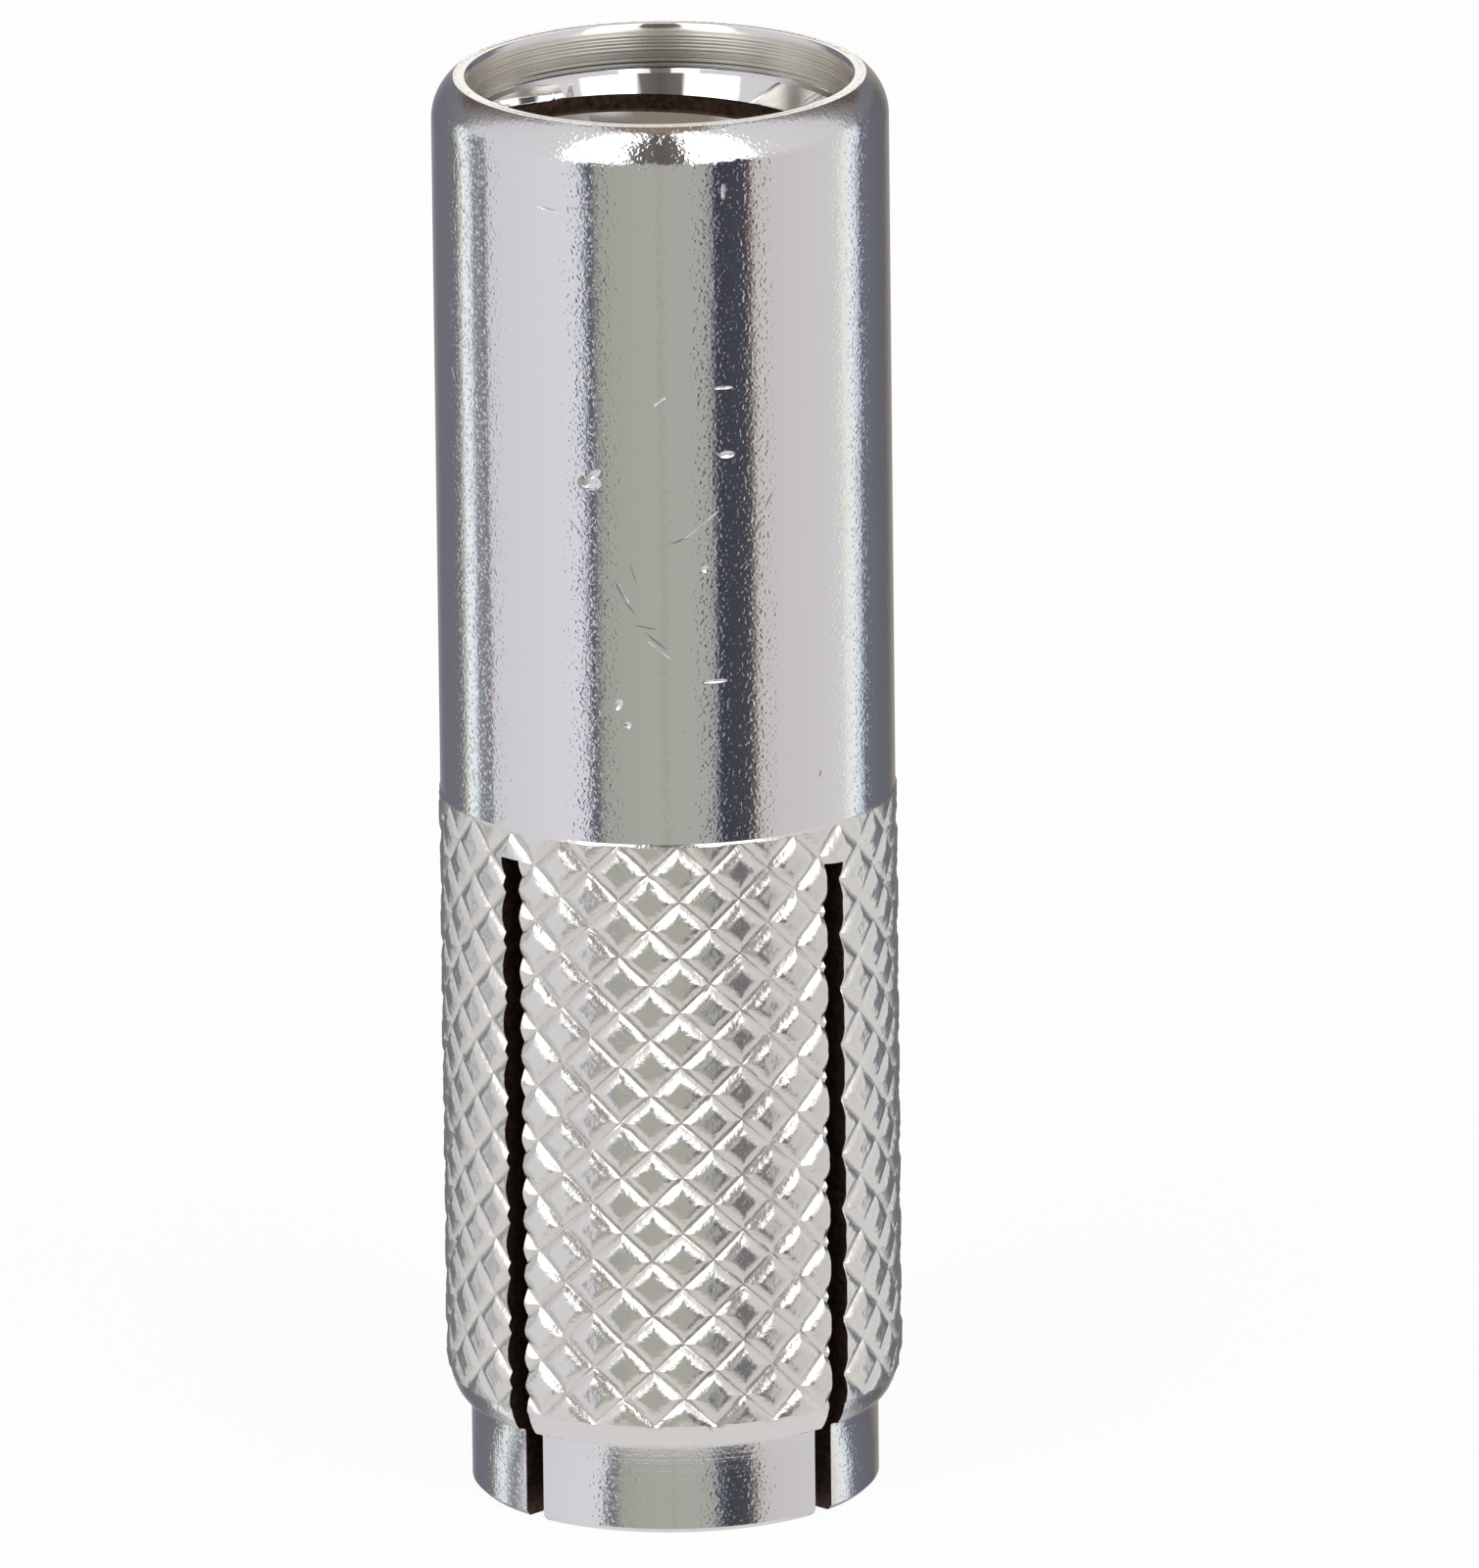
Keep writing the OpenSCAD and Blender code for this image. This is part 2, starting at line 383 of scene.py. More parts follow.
def turned(name, points, steps):
    """Spins an outline that starts and ends on the axis into a closed solid."""
    obj = draw_outline(name, points, closed=False)
    pick_all(obj)
    bpy.ops.mesh.spin(steps=steps, angle=FULL_TURN, center=(0, 0, 0), axis=(0, 0, 1))
    weld(obj)
    return obj


mouth_r = rim_r - 0.45
mouth_z = body_len - 1.5
mouth_step = 0.21
seat_top_r = mouth_r - mouth_step
seat_foot_r = seat_top_r - 0.23
seat_z = body_len - 2.55
lead_in_h = 0.9
minor_r = body_r - 2.58
thread_foot = body_len - 20.6
cavity_r = minor_r + 0.3
nose_bore_r = cavity_r - 1.95
nose_bore_h = 2.6
taper_h = 17.4
taper_slope = (cavity_r - nose_bore_r) / taper_h
cavity_step_h = 0.4
nose_break = 0.15
edge_break = 0.06
lip_flare = 0.07
flare_h = 0.30
flare_over = 0.01
over = 1

bore = turned("bore_cutter", [
    (0, -over),
    (nose_bore_r + nose_break, -over),
    (nose_bore_r + nose_break, 0),
    (nose_bore_r, nose_break),
    (nose_bore_r, nose_bore_h),
    (cavity_r, nose_bore_h + taper_h),
    (cavity_r, thread_foot - cavity_step_h),
    (minor_r, thread_foot),
    (minor_r, seat_z - lead_in_h),
    (seat_foot_r, seat_z),
    (seat_top_r, mouth_z - mouth_step),
    (mouth_r - lip_flare, mouth_z - lip_flare),
    (mouth_r - lip_flare, body_len - flare_h),
    (mouth_r - lip_flare / 2, body_len - flare_h * 0.6),
    (mouth_r + flare_over, body_len - flare_h * 0.2),
    (mouth_r + edge_break, body_len),
    (mouth_r + edge_break, body_len + over),
    (0, body_len + over),
], steps=192)
print("bore cutter:", len(bore.data.polygons), "faces")

# %% [markdown]
# The thread is cut as a tap cuts it. The tooth of a half-inch coarse thread, 13 turns to the inch
# with 60-degree flanks, is drawn once and wound up the axis by a Screw modifier. It runs out through
# the seat at the top, where the real tap leaves the same slanting edge.

# %% The tap's tooth, wound into a helix
pitch = 25.4 / 13
major_r = 12.7 / 2
root_flat = 0.26
root_round = 0.08
flank = math.tan(math.radians(30))
tooth_base_r = 4.95
tooth_side = root_flat + root_round
tooth_base = tooth_side + (major_r - root_round - tooth_base_r) * flank
groove_at_back = 48.09
tap_turns = 9
tap_foot = groove_at_back - pitch / 4 - (tap_turns - 1) * pitch

tap = draw_outline("tap_cutter", [
    (tooth_base_r, tap_foot - tooth_base),
    (major_r - root_round, tap_foot - tooth_side),
    (major_r, tap_foot - root_flat),
    (major_r, tap_foot + root_flat),
    (major_r - root_round, tap_foot + tooth_side),
    (tooth_base_r, tap_foot + tooth_base),
], closed=True)
apply_modifier(tap, "SCREW", axis="Z", angle=FULL_TURN, screw_offset=pitch, iterations=tap_turns,
               steps=96, render_steps=96, use_merge_vertices=False)
pick_all(tap)
bpy.ops.mesh.fill_holes(sides=0)
weld(tap)
tap_zs = [point.co.z for point in tap.data.vertices]
print("tap:", len(tap.data.polygons), "faces")
print("tap from", round(min(tap_zs), 2), "to", round(max(tap_zs), 2))

# %% [markdown]
# Two passes of a slitting saw across the nose leave the four slots. The saw is a thin disc, so the
# slots' upper ends are gently curved, and the first pass reached a little higher than the second.

# %% The slitting saw, twice
slot_w = 0.82
slot_top = 24.3
slot_over = 0.4
saw_r = 65
saw_hub = 0.5
slot_turns = (math.radians(45), math.radians(135))


def saw(turn, top):
    """A disc on edge across the axis, turned round it, with its highest point at top."""
    bpy.ops.object.select_all(action="DESELECT")
    bpy.ops.mesh.primitive_cylinder_add(
        vertices=360, radius=saw_r, depth=slot_w,
        location=(0, 0, top - saw_r), rotation=(math.pi / 2, 0, turn),
    )
    disc = bpy.context.object
    disc.name = "saw_cutter"
    bpy.ops.object.transform_apply(location=True, rotation=True, scale=True)
    pick_all(disc)
    bpy.ops.mesh.inset(thickness=saw_hub, use_individual=True)
    bpy.ops.object.mode_set(mode="OBJECT")
    return disc


saws = [saw(slot_turns[0], slot_top + slot_over), saw(slot_turns[1], slot_top)]

# %% [markdown]
# Every cutter is taken from the knurled blank with a Boolean modifier, in the order of the real
# work: bored, tapped, then sawn. All the shapes are closed, so the quick Manifold solver can do it.

# %% Bore, tap and saw the blank
def cut(obj, cutter):
    """Takes the cutter's solid away from obj, and the cutter with it."""
    apply_modifier(obj, "BOOLEAN", operation="DIFFERENCE", solver="MANIFOLD", object=cutter)
    bpy.data.objects.remove(cutter)
    print(obj.name, "now has", len(obj.data.polygons), "faces")


for cutter in (bore, tap, *saws):
    cut(knurl, cutter)
knurl.data.calc_loop_triangles()
print("anchor sleeve:", len(knurl.data.loop_triangles), "triangles")

# %% [markdown]
# The wedge plug is a loose steel cone, dropped in through the thread at the works. It is turned from
# bar, so its outline is spun too: a chamfered foot, the cone that matches the taper, a short straight
# band, and a chamfered top with the shallow dimple that the parting tool leaves.

# %% The expander plug
plug_foot = plug_lo[2] / MM
plug_top = plug_hi[2] / MM
plug_top_r = plug_hi[0] / MM
plug_band_h = 1.2
plug_chamfer = 0.3
plug_cone_top = plug_top - plug_band_h
plug_foot_r = plug_top_r - (plug_cone_top - plug_foot) * taper_slope
plug_low_r = plug_foot_r + plug_chamfer * taper_slope
dimple_r = 0.9
dimple_h = 0.25

plug = turned("wedge_plug", [
    (0, plug_foot),
    (plug_low_r - plug_chamfer, plug_foot),
    (plug_low_r, plug_foot + plug_chamfer),
    (plug_top_r, plug_cone_top),
    (plug_top_r, plug_top - plug_chamfer),
    (plug_top_r - plug_chamfer, plug_top),
    (dimple_r, plug_top),
    (dimple_r * 0.5, plug_top - dimple_h * 0.8),
    (0, plug_top - dimple_h),
], steps=128)
print("plug from", round(plug_foot, 2), "to", round(plug_top, 2))
print("plug's foot radius", round(plug_foot_r, 3))


# %% [markdown]
# Colours are written as they look on a screen, in hex, and one function turns them to the linear
# values that Blender's shaders use. Another small function adds a node with its settings and links,
# and the rest are short ways to say what the materials need most often.

# %% Colour and node helpers
def linear(hex_colour):
    """Linear RGBA of an sRGB hex colour."""
    parts = [int(hex_colour[k:k + 2], 16) / 255 for k in (1, 3, 5)]
    return tuple(c / 12.92 if c <= 0.04045 else ((c + 0.055) / 1.055) ** 2.4 for c in parts) + (1.0,)


def add_node(tree, kind, inputs=None, **settings):
    """Adds a node; inputs gives each socket a value or the socket that feeds it."""
    made = tree.nodes.new(kind)
    for name, value in settings.items():
        setattr(made, name, value)
    for name, value in (inputs or {}).items():
        if isinstance(value, bpy.types.NodeSocket):
            tree.links.new(value, made.inputs[name])
        else:
            made.inputs[name].default_value = value
    return made


def new_material(name):
    """A material with only its Principled shader, and its node tree."""
    material = bpy.data.materials.new(name)
    material.use_nodes = True
    return material, material.node_tree, material.node_tree.nodes["Principled BSDF"]


def between(tree, value, start, end):
    """Rises from 0 to 1 as the value goes from start to end."""
    return add_node(tree, "ShaderNodeMapRange", {
        "Value": value, "From Min": start, "From Max": end,
    }).outputs[0]


def calculate(tree, operation, first, second):
    """One Math node on two values or sockets."""
    return add_node(tree, "ShaderNodeMath", {0: first, 1: second}, operation=operation).outputs[0]


def place_height_radius(tree):
    """Sockets for a point's place, its height and its distance from the axis, all in metres."""
    place = add_node(tree, "ShaderNodeTexCoord").outputs["Object"]
    height = add_node(tree, "ShaderNodeSeparateXYZ", {0: place}).outputs["Z"]
    across = add_node(tree, "ShaderNodeVectorMath", {0: place, 1: (1, 1, 0)}, operation="MULTIPLY")
    radius = add_node(tree, "ShaderNodeVectorMath", {0: across.outputs[0]}, operation="LENGTH")
    return place, height, radius.outputs["Value"]


def mix_colours(tree, factor, first, second):
    """The mix of two colours or colour sockets."""
    mixed = add_node(tree, "ShaderNodeMix", {0: factor}, data_type="RGBA")
    for k, value in ((6, first), (7, second)):
        if isinstance(value, bpy.types.NodeSocket):
            tree.links.new(value, mixed.inputs[k])
        else:
            mixed.inputs[k].default_value = value
    return mixed.outputs[2]


# %% [markdown]
# The anchor has been in a box with others, so its barrel carries nicks and scuffs. Each one is a
# short stroke on the surface: how far round from the camera's side in degrees, its height in mm, its
# slant in degrees, and its half length and half width in mm. A Mapping node turns each stroke into a
# ball of radius one, so the distance from its middle says whether a point is in it. The camera stands
# a little to the left of the anchor's front.

# %% Marks of wear
camera_turn = math.radians(-1.25)

bright_nicks = [
    (-29.3, 47.85, -7, 0.50, 0.06), (-19.1, 38.2, 0, 0.44, 0.28), (-17.8, 38.5, 40, 0.30, 0.14),
    (15.2, 41.6, 0, 0.34, 0.06), (15.9, 39.2, 0, 0.30, 0.13), (12.3, 31.1, 0, 0.44, 0.07),
    (10.1, 35.15, 0, 0.16, 0.13), (-9.8, 29.57, 0, 0.12, 0.12), (-65.9, 41.0, -55, 0.3, 0.06),
    (15.7, 48.6, 90, 0.3, 0.08), (-1.0, 41.2, 35, 0.3, 0.05), (-10.4, 34.3, -62, 0.42, 0.03),
    (-1.8, 32.3, -40, 0.5, 0.03), (8.9, 36.7, 38, 0.9, 0.03), (-12.2, 30.3, 60, 0.22, 0.14),
]
dark_scuffs = [
    (27.0, 37.4, 60, 0.42, 0.05), (23.8, 36.5, 60, 0.40, 0.06), (3.6, 36.2, 18, 0.42, 0.05),
    (22.4, 35.3, 60, 0.25, 0.05), (-11.5, 34.4, -62, 0.45, 0.05), (-9.0, 33.8, -50, 0.4, 0.04),
    (-2.5, 32.6, -40, 0.60, 0.05), (41.8, 27.2, 70, 0.15, 0.08), (-5.0, 33.1, -12, 0.5, 0.04),
    (-23.0, 36.6, -50, 0.5, 0.03), (-8.0, 35.0, -75, 0.5, 0.03),
]


def strokes(tree, place, marks, full_at):
    """0 at the edge of each mark, rising to 1 where full_at of its half size is left."""
    found = 0.0
    for around, height, slant, half_len, half_wide in marks:
        turn = math.radians(around) + camera_turn
        middle = (body_r * MM * math.sin(turn), -body_r * MM * math.cos(turn), height * MM)
        local = add_node(tree, "ShaderNodeMapping", {
            "Vector": place, "Location": middle, "Rotation": (0, -math.radians(slant), turn),
            "Scale": (half_len * MM, half_len * MM, half_wide * MM),
        }, vector_type="TEXTURE")
        away = add_node(tree, "ShaderNodeVectorMath", {0: local.outputs[0]}, operation="LENGTH")
        mark = between(tree, away.outputs["Value"], 1.0, full_at)
        found = calculate(tree, "MAXIMUM", mark, found)
    return found


# %% [markdown]
# The body is free-cutting steel with bright clear zinc plating: a cool silver, smooth enough to show
# the studio as sharp bands, with a fine grain that makes their edges ragged. The grain is drawn at
# about 0.1 mm, coarser than real, so that it shows. It lies in four layers of bump: a slow wave from
# the drawn bar all over, then on the smooth outside an even grain and separate specks, which are the
# highest parts of a noise, and on the knurl a deeper grain where the roll tore the steel.

# %% Grain of the plated surface
def grain_bumps(tree, place, smooth, rolled):
    """The bumped normal; smooth and rolled are 1 on the smooth outside and on the knurl."""
    # Each layer: size in mm, detail, depth in mm, the lowest level it keeps, and where it lies
    layers = [
        (1.1, 1.0, 0.006, None, None),
        (0.11, 2.0, 0.003, None, smooth),
        (0.12, 0.0, 0.016, 0.53, smooth),
        (0.25, 2.0, 0.026, None, rolled),
    ]
    normal = None
    for size, detail, depth, lowest, where in layers:
        pattern = add_node(tree, "ShaderNodeTexNoise", {
            "Vector": place, "Scale": METRE_IN_MM / size, "Detail": detail, "Roughness": 0.6,
        }).outputs[0]
        if lowest:
            pattern = calculate(tree, "MAXIMUM", pattern, lowest)
        if where:
            pattern = calculate(tree, "MULTIPLY", pattern, where)
        inputs = {"Height": pattern, "Strength": 1.0, "Distance": depth * MM}
        if normal:
            inputs["Normal"] = normal
        normal = add_node(tree, "ShaderNodeBump", inputs).outputs[0]
    return normal


# %% [markdown]
# Where the lathe tool's marks were left, on the nose and on the wall of the mouth, true rings run
# round the piece, so their pattern follows only the height and the radius. There and on the knurl
# the surface is duller, and in the mouth a little warmer. The rings are drawn 0.1 mm apart, coarser
# than real. The nicks are pressed in and catch the light, the scuffs are only darker and duller.

# %% Bright zinc plate
SILVER = "#E0DFE0"
MOUTH_WALL = "#DCD8D0"
ROLLED = "#E1DFDB"
SCUFFED = "#AEACA8"

# Where each part of the surface starts and is full: radii, and heights from its edge, in mm
OUTSIDE_RADII = (6.9, 7.0)
MOUTH_RADII = (6.71, 6.68)
MOUTH_EDGES = (0.08, 0.02)
NOSE_FADE = 0.4
KNURL_FADE = 0.2

ring_size = 0.1
ring_depth = 0.016
nick_depth = 0.05
NOSE_RINGS = 0.4
NOSE_DULL = 0.3
KNURL_DULL = 0.9
BRIGHT_ROUGHNESS = 0.04
DULL_ROUGHNESS = 0.30


def zinc_plate():
    """The plated surface of the whole sleeve."""
    material, tree, shader = new_material("bright_zinc_plated_steel")
    place, height, radius = place_height_radius(tree)

    def mask(value, start, full):
        """Rises from 0 to 1 as the value goes from start to full, both in mm."""
        return between(tree, value, start * MM, full * MM)

    on_nose = mask(height, nose_h + NOSE_FADE, nose_h)
    outside = mask(radius, *OUTSIDE_RADII)
    inside = mask(radius, *MOUTH_RADII)
    above_seat = mask(height, mouth_z - MOUTH_EDGES[0], mouth_z - MOUTH_EDGES[1])
    mouth_wall = calculate(tree, "MULTIPLY", inside, above_seat)
    below_top = mask(height, knurl_top + KNURL_FADE, knurl_top)
    above_foot = mask(height, knurl_foot - KNURL_FADE, knurl_foot)
    rolled = calculate(tree, "MULTIPLY", below_top, above_foot)
    smooth = calculate(tree, "SUBTRACT", outside, rolled)
    nicks = strokes(tree, place, bright_nicks, full_at=0.1)
    scuffs = strokes(tree, place, dark_scuffs, full_at=0.5)

    nose_rings = calculate(tree, "MULTIPLY", on_nose, NOSE_RINGS)
    lathed = calculate(tree, "MAXIMUM", nose_rings, mouth_wall)
    along = calculate(tree, "ADD", height, radius)
    rings = add_node(tree, "ShaderNodeTexNoise", {
        "W": along, "Scale": METRE_IN_MM / ring_size, "Detail": 3.0,
    }, noise_dimensions="1D")
    ring_bump = add_node(tree, "ShaderNodeBump", {
        "Height": calculate(tree, "MULTIPLY", rings.outputs[0], lathed),
        "Strength": 1.0, "Distance": ring_depth * MM,
        "Normal": grain_bumps(tree, place, smooth, rolled),
    })
    nick_bump = add_node(tree, "ShaderNodeBump", {
        "Height": nicks, "Strength": 1.0, "Distance": nick_depth * MM,
        "Normal": ring_bump.outputs[0],
    }, invert=True)

    duller = calculate(tree, "MAXIMUM", nicks, scuffs)
    for where, share in ((on_nose, NOSE_DULL), (mouth_wall, 1.0), (rolled, KNURL_DULL)):
        duller = calculate(tree, "MAXIMUM", duller, calculate(tree, "MULTIPLY", where, share))
    roughness = add_node(tree, "ShaderNodeMapRange", {
        "Value": duller, "To Min": BRIGHT_ROUGHNESS, "To Max": DULL_ROUGHNESS,
    })
    colour = mix_colours(tree, mouth_wall, linear(SILVER), linear(MOUTH_WALL))
    colour = mix_colours(tree, rolled, colour, linear(ROLLED))
    colour = mix_colours(tree, scuffs, colour, linear(SCUFFED))
    tree.links.new(colour, shader.inputs["Base Color"])
    shader.inputs["Metallic"].default_value = 1.0
    tree.links.new(roughness.outputs[0], shader.inputs["Roughness"])
    tree.links.new(nick_bump.outputs[0], shader.inputs["Normal"])
    return material


# %% [markdown]
# The saw left the slots' walls as bare cut steel, and the bore below the thread is never polished or
# well plated. Both carry painted shade, a brown so dark that these recesses look nearly black between
# the bright legs. The thread's root gets the same painted shade, which shows as a dark line in the
# mouth.

# %% Painted shade inside: dark brown sawn steel
# Painted shade: the darkest and the palest brown of the shaded recesses
DEEP_SHADE_BROWN = "#2C201A"
PALE_SHADE_BROWN = "#5E4638"
saw_mark_size = 0.25
saw_mark_depth = 0.01


def shaded_sawn_steel():
    """Brown-black painted shade for the recesses, on steel with the saw's coarse marks."""
    material, tree, shader = new_material("painted_shade_sawn_steel")
    place = add_node(tree, "ShaderNodeTexCoord").outputs["Object"]
    saw_marks = add_node(tree, "ShaderNodeTexNoise", {
        "Vector": place, "Scale": METRE_IN_MM / saw_mark_size, "Detail": 3.0,
    })
    # The ramp paints the shade, from dark brown to a paler brown along the saw's marks
    tone = add_node(tree, "ShaderNodeValToRGB", {"Fac": saw_marks.outputs[0]})
    tone.color_ramp.elements[0].position = 0.3
    tone.color_ramp.elements[0].color = linear(DEEP_SHADE_BROWN)
    tone.color_ramp.elements[1].position = 0.8
    tone.color_ramp.elements[1].color = linear(PALE_SHADE_BROWN)
    bump = add_node(tree, "ShaderNodeBump", {
        "Height": saw_marks.outputs[0], "Strength": 1.0, "Distance": saw_mark_depth * MM,
    })
    tree.links.new(tone.outputs[0], shader.inputs["Base Color"])
    shader.inputs["Metallic"].default_value = 0.7
    shader.inputs["Roughness"].default_value = 0.5
    tree.links.new(bump.outputs[0], shader.inputs["Normal"])
    return material


# %% [markdown]
# The plug is plain turned steel under a little oil: darker and warmer than the plating, with rings
# round its axis from the lathe.

# %% Plain turned steel
TURNED = "#B4AEA6"
turned_ring_size = 0.12
turned_ring_depth = 0.006


def turned_steel():
    """Bare steel with the lathe's rings."""
    material, tree, shader = new_material("plain_turned_steel")
    place, height, radius = place_height_radius(tree)
    rings = add_node(tree, "ShaderNodeTexNoise", {
        "W": calculate(tree, "ADD", radius, height),
        "Scale": METRE_IN_MM / turned_ring_size, "Detail": 2.0,
    }, noise_dimensions="1D")
    bump = add_node(tree, "ShaderNodeBump", {
        "Height": rings.outputs[0], "Strength": 1.0, "Distance": turned_ring_depth * MM,
    })
    shader.inputs["Base Color"].default_value = linear(TURNED)
    shader.inputs["Metallic"].default_value = 1.0
    shader.inputs["Roughness"].default_value = 0.3
    tree.links.new(bump.outputs[0], shader.inputs["Normal"])
    return material


# %% [markdown]
# The finishes go on face by face, by place: a face of the sleeve gets the dark painted shade if it is
# a wall of a slot, if it lies inside below the thread, or if it belongs to the thread's root. The
# seat that the thread runs out through passes the same radius as the root, but its slope tells it
# apart.
# Edges sharper than 26 degrees stay crisp, and the rest is smooth.

# %% Put the finishes on and bring the pieces to metres
CRISP_ANGLE = math.radians(26)
slot_normals = [Vector((math.cos(turn), math.sin(turn), 0)) for turn in slot_turns]
root_top = seat_z + 0.5
inner_r = cavity_r + 0.05
bright_edge_h = 0.2
UPRIGHT = 0.1
STEEP = 0.6


def in_root(face, radius):
    """Whether a face belongs to the flat or rounded root of the thread's groove."""
    if face.center.z > root_top or not major_r - root_round < radius < major_r + NEAR:
        return False
    return abs(face.normal.z) < UPRIGHT or abs(face.normal.z) > STEEP


def on_slot_wall(face, normal):
    """Whether a face lies in one of the two planes that a pass of the saw left."""
    from_plane = abs(abs(normal.dot(face.center)) - slot_w / 2)
    return from_plane < NEAR and abs(normal.dot(face.normal)) > 0.99


def is_dark(face):
    """Whether a face of the sleeve gets the dark painted shade and not bright plate."""
    centre = face.center
    radius = math.hypot(centre.x, centre.y)
    if centre.z < thread_foot and radius < inner_r:
        return centre.z > bright_edge_h
    if centre.z > thread_foot and in_root(face, radius):
        return True
    return any(on_slot_wall(face, normal) for normal in slot_normals)


knurl.data.materials.clear()
knurl.data.materials.append(zinc_plate())
knurl.data.materials.append(shaded_sawn_steel())
# Faces in the slots, the bore below the thread and the thread's root get the painted shade
for face in knurl.data.polygons:
    face.material_index = 1 if is_dark(face) else 0
plug.data.materials.append(turned_steel())


def finish_piece(obj, body, node):
    """Brings a piece to metres, smooths it and says which solid it stands for."""
    take(obj)
    obj.scale = (MM, MM, MM)
    bpy.ops.object.transform_apply(location=True, rotation=True, scale=True)
    bpy.ops.object.shade_smooth_by_angle(angle=CRISP_ANGLE)
    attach(obj, body)
    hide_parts(node)
    obj.select_set(False)


finish_piece(knurl, "anchor", "anchor_body")
finish_piece(plug, "plug", "expander_plug")
dark_faces = sum(face.material_index for face in knurl.data.polygons)
print("dark faces:", dark_faces, "of", len(knurl.data.polygons))

# %% [markdown]
# Polished metal shows little of itself and much of the room, so the room is part of the likeness.
# It is described by direction: a band of cards and dark gaps all round, low down, that the upright
# barrel reflects, two tall soft boxes above it, either side of the camera, a dim brown wall high up
# behind the anchor, a dim ceiling, and a pale table below. Angles run from the camera's side,
# positive to its right. How high each part starts is given as the share of straight up.

# %% The room that the metal reflects
ROOM_STRENGTH = 2.1
CARDS = 1.35 / ROOM_STRENGTH
SOFT_BOX = "#FFFFFF"

low_bands = [
    (-180, "#A39A94"), (-166, "#77757C"), (-156, "#666670"), (-126, "#6C6C72"), (-124.5, "#A9A89C"),
    (-122, "#B8B7AC"), (-121, "#E6EEEE"), (-113, "#DCE6E8"), (-111, "#8C9298"),
    (-101, "#707076"), (-99.5, "#CAC8CB"), (-42, "#D4D3D8"), (-40.5, "#A4AEC0"),
    (-39.5, "#505662"), (-34.5, "#66686C"), (-32, "#9E9E96"), (-3, "#A6A69E"), (-1, "#94938C"),
    (1, "#A6A69E"), (22, "#A4A49E"), (25, "#646C78"), (27, "#3A3C46"), (44, "#44454D"),
    (46, "#8C7C74"), (50, "#C2BEBC"), (101, "#CAC8CA"), (104, "#E2E0D2"), (112, "#E4ECF0"),
    (116, "#C6D2DA"), (118, "#686C78"), (152, "#5F5D60"), (180, "#A39A94"),
]
high_bands = [
    (-180, "#F0EEE8"), (-172, "#F0EEE8"), (-166, "#6A6A70"), (-122, "#74747A"), (-110, "#C8C7CA"),
    (-52, "#D0CED0"), (-49, SOFT_BOX), (-17, SOFT_BOX), (-14.5, "#6E6A66"), (0, "#5A5652"),
    (13, "#6E6A66"), (15, SOFT_BOX), (48, SOFT_BOX), (51, "#D0CED0"), (108, "#C8C7CA"),
    (120, "#74747A"), (166, "#6A6A70"), (172, "#F0EEE8"), (180, "#F0EEE8"),
]
back_bands = [
    (-180, "#54463A"), (-140, "#5C524A"), (-118, "#8A8784"), (-104, "#C8C7CA"), (104, "#C8C7CA"),
    (118, "#8A8784"), (140, "#5C524A"), (180, "#54463A"),
]
CEILING = "#85796C"
TABLE = "#CFCCCA"

# The rise at which each part of the room begins to show, and the rise at which it has taken over
UPPER_RISE = (0.10, 0.16)
BACK_RISE = (0.33, 0.40)
CEILING_RISE = (0.95, 0.98)
TABLE_RISE = (-0.55, -0.75)

# The same for the wall behind the anchor, as the share that a direction points to the front
BEHIND = (0.05, -0.05)


def dimmed(hex_colour, share):
    """A hex colour turned linear, at a share of its brightness."""
    red, green, blue, alpha = linear(hex_colour)
    return (red * share, green * share, blue * share, alpha)


def add_bands(tree, share, bands):
    """The colour of one set of bands, where share runs from 0 to 1 once round the room."""
    node = add_node(tree, "ShaderNodeValToRGB", {"Fac": share})
    ramp = node.color_ramp
    while len(ramp.elements) < len(bands):
        ramp.elements.new(0.5)
    for k, (degrees, _) in enumerate(bands):
        ramp.elements[k].position = (degrees + 180) / 360
    for k, (_, colour) in enumerate(bands):
        light = 1.0 if colour == SOFT_BOX else CARDS
        ramp.elements[k].color = dimmed(colour, light)
    return node.outputs[0]


def build_room():
    """Makes the room as the scene's world."""
    world = bpy.data.worlds.new("studio_room")
    bpy.context.scene.world = world
    world.use_nodes = True
    tree = world.node_tree
    tree.nodes.clear()
    direction = add_node(tree, "ShaderNodeTexCoord").outputs["Generated"]
    facing = add_node(tree, "ShaderNodeMapping", {
        "Vector": direction, "Rotation": (0, 0, -camera_turn),
    })
    axes = add_node(tree, "ShaderNodeSeparateXYZ", {0: facing.outputs[0]})
    rise = axes.outputs["Z"]
    front = calculate(tree, "MULTIPLY", axes.outputs["Y"], -1.0)
    around = calculate(tree, "ARCTAN2", axes.outputs["X"], front)
    share = between(tree, around, -math.pi, math.pi)

    low = add_bands(tree, share, low_bands)
    high = add_bands(tree, share, high_bands)
    back = add_bands(tree, share, back_bands)
    behind = between(tree, front, *BEHIND)
    high_behind = calculate(tree, "MULTIPLY", behind, between(tree, rise, *BACK_RISE))
    upper = mix_colours(tree, high_behind, high, back)
    room = mix_colours(tree, between(tree, rise, *UPPER_RISE), low, upper)
    room = mix_colours(tree, between(tree, rise, *CEILING_RISE), room, dimmed(CEILING, CARDS))
    room = mix_colours(tree, between(tree, rise, *TABLE_RISE), room, dimmed(TABLE, CARDS))
    light = add_node(tree, "ShaderNodeBackground", {"Color": room, "Strength": ROOM_STRENGTH})
    out = add_node(tree, "ShaderNodeOutputWorld", {"Surface": light.outputs[0]})
    print("room:", len(tree.nodes), "nodes, output", out.name)


build_room()

# %% [markdown]
# The anchor stands on a plain white floor. To the camera the floor is mostly its own even white, so
# that the background stays white, and the rest of it is ordinary diffuse white that takes the
# anchor's soft shadow. The room below already stands for the table in reflections, so the floor
# itself is left out of them.

# %% The floor
floor_size = 6
floor_gap = 0.02
EVEN_SHARE = 0.94


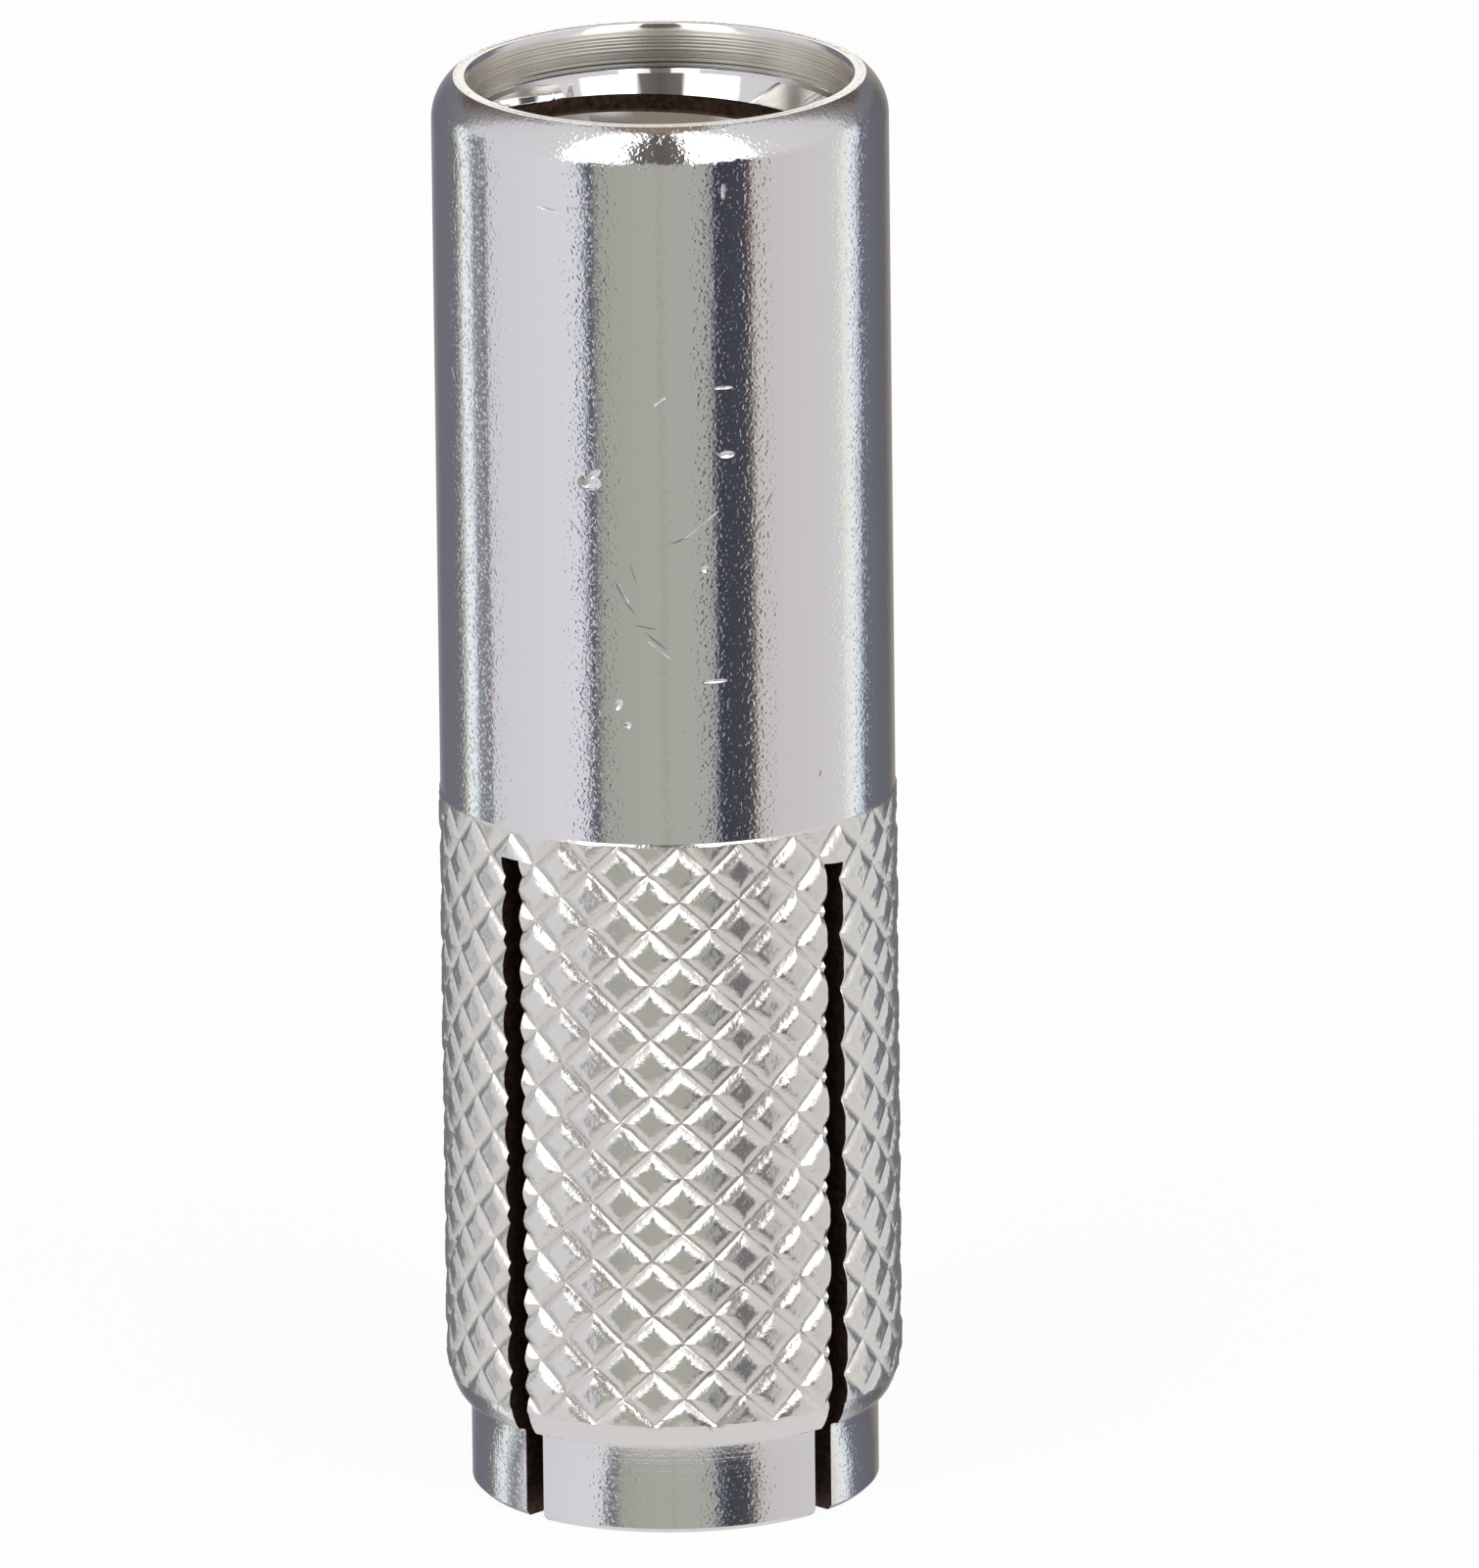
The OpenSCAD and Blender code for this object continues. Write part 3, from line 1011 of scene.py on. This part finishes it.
def white_floor():
    """A wide plane just below the nose face, with its own white."""
    bpy.ops.object.select_all(action="DESELECT")
    bpy.ops.mesh.primitive_grid_add(size=floor_size, x_subdivisions=2, y_subdivisions=2,
                                    location=(0, 0, body_lo[2] - floor_gap * MM))
    floor = bpy.context.object
    floor.name = "floor"
    bpy.ops.object.transform_apply(location=True, rotation=True, scale=True)
    material, tree, shader = new_material("white_paper_floor")
    shader.inputs["Base Color"].default_value = linear("#FFFFFF")
    shader.inputs["Roughness"].default_value = 0.9
    even_white = add_node(tree, "ShaderNodeEmission", {"Color": (1, 1, 1, 1), "Strength": 1.0})
    to_camera = add_node(tree, "ShaderNodeLightPath").outputs["Is Camera Ray"]
    mixed = add_node(tree, "ShaderNodeMixShader", {
        0: calculate(tree, "MULTIPLY", to_camera, EVEN_SHARE),
        1: shader.outputs[0], 2: even_white.outputs[0],
    })
    tree.links.new(mixed.outputs[0], tree.nodes["Material Output"].inputs["Surface"])
    floor.data.materials.append(material)
    floor.visible_glossy = False
    floor.select_set(False)


white_floor()

# %% [markdown]
# The camera stands where the photograph's did: seventy outside diameters away, which keeps the
# upright sides nearly parallel, 16.2 degrees above the table, and rolled a little, so that the
# anchor leans left. Its lens is worked out from the photograph's scale at the anchor.

# %% The camera
image_w = 1509
image_h = 1600
pixels_per_mm = 29.265
aim_px = (681.3, 793.4)
distance = 70 * 2 * body_r * MM
elevation = math.radians(16.2)
roll = math.radians(0.676)
SENSOR = 36

aim = Vector((0, 0, body_len / 2 * MM))
back = Vector((
    math.sin(camera_turn) * math.cos(elevation),
    -math.cos(camera_turn) * math.cos(elevation),
    math.sin(elevation),
))
bpy.ops.object.camera_add(location=aim + distance * back)
camera = bpy.context.object
camera.name = "camera"
camera.rotation_mode = "QUATERNION"
camera.rotation_quaternion = back.to_track_quat("Z", "Y")
camera.rotation_mode = "XYZ"
bpy.ops.object.select_all(action="DESELECT")
lens_px = pixels_per_mm / MM * distance
camera.data.sensor_width = SENSOR
camera.data.lens = lens_px * SENSOR / image_h
camera.data.shift_x = (image_w / 2 - aim_px[0]) / image_h
camera.data.shift_y = (aim_px[1] - image_h / 2) / image_h
camera.data.clip_start = 0.01
camera.data.clip_end = 20
camera.rotation_euler.rotate_axis("Z", -roll)
bpy.context.scene.camera = camera
bpy.context.scene.view_settings.view_transform = "Standard"
print("lens", round(camera.data.lens, 1), "mm")
print("shift", round(camera.data.shift_x, 4), round(camera.data.shift_y, 4))
